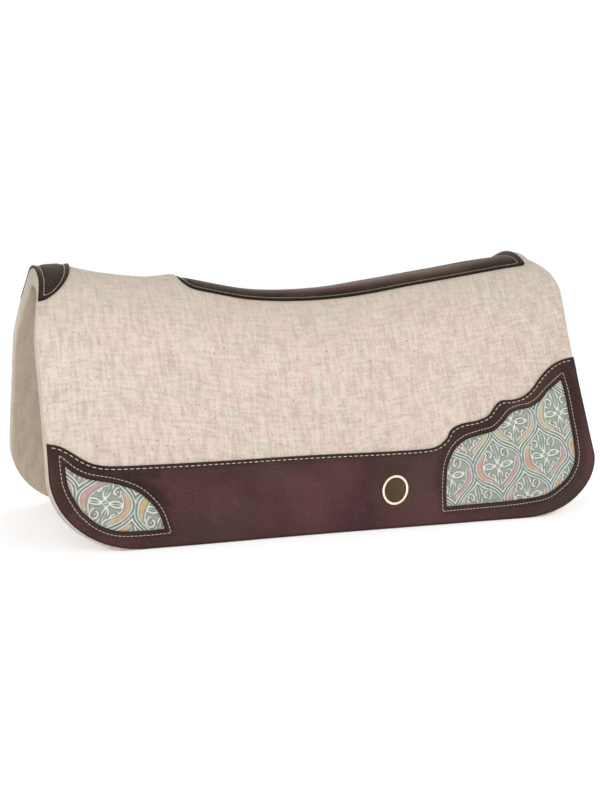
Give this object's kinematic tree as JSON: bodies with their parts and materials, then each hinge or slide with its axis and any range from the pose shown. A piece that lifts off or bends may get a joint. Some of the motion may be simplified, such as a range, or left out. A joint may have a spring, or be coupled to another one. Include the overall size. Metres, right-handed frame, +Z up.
{
  "type": "western saddle pad",
  "caption": "Contoured wool felt western saddle pad with wear leathers, inlaid corner panels, spine strip, wither patch and wither opening, folding at its spine.",
  "frame": {"origin": "on the floor under the middle of the pad's bounding box", "axes": "-X towards the horse's front (withers), +X towards its rear, -Y its left side, +Z up"},
  "size_m": [0.787, 0.3864, 0.3816],
  "materials": {
    "felt": "matt pressed wool felt, oatmeal with darker flecks",
    "wear_leather": "smooth waxed dark burgundy leather",
    "spine_leather": "smooth dark brown leather",
    "inlay_leather": "embossed leather, pale turquoise with rose and cream highlights",
    "medallion_leather": "plain olive brown leather disc",
    "medallion_metal": "pale polished brass ring",
    "sewing_thread": "waxed cream thread"
  },
  "bodies": {
    "left_half": {"felt_left": "felt", "wear_leather_left": "wear_leather", "front_inlay_left": "inlay_leather", "rear_inlay_left": "inlay_leather", "medallion_left": "medallion_leather", "medallion_ring_left": "medallion_metal", "wear_edge_thread_left": "sewing_thread", "front_inlay_thread_left": "sewing_thread", "rear_inlay_thread_left": "sewing_thread", "wither_patch": "spine_leather", "wither_patch_thread": "sewing_thread", "spine_strip": "spine_leather", "spine_strip_thread": "sewing_thread", "seam_thread": "sewing_thread"},
    "right_half": {"felt_right": "felt", "wear_leather_right": "wear_leather", "front_inlay_right": "inlay_leather", "rear_inlay_right": "inlay_leather", "medallion_right": "medallion_leather", "medallion_ring_right": "medallion_metal", "wear_edge_thread_right": "sewing_thread", "front_inlay_thread_right": "sewing_thread", "rear_inlay_thread_right": "sewing_thread"}
  },
  "joints": [
    {"name": "spine_fold", "type": "hinge", "parent": "left_half", "child": "right_half", "pos_m": [-0.3235, 0, 0.3585], "axis": [0.9995, 0, 0.0313], "range_deg": [0, 24], "stiffness_Nm_per_rad": 6, "deforming": ["wither_patch", "wither_patch_thread", "spine_strip", "spine_strip_thread", "seam_thread"]}
  ]
}
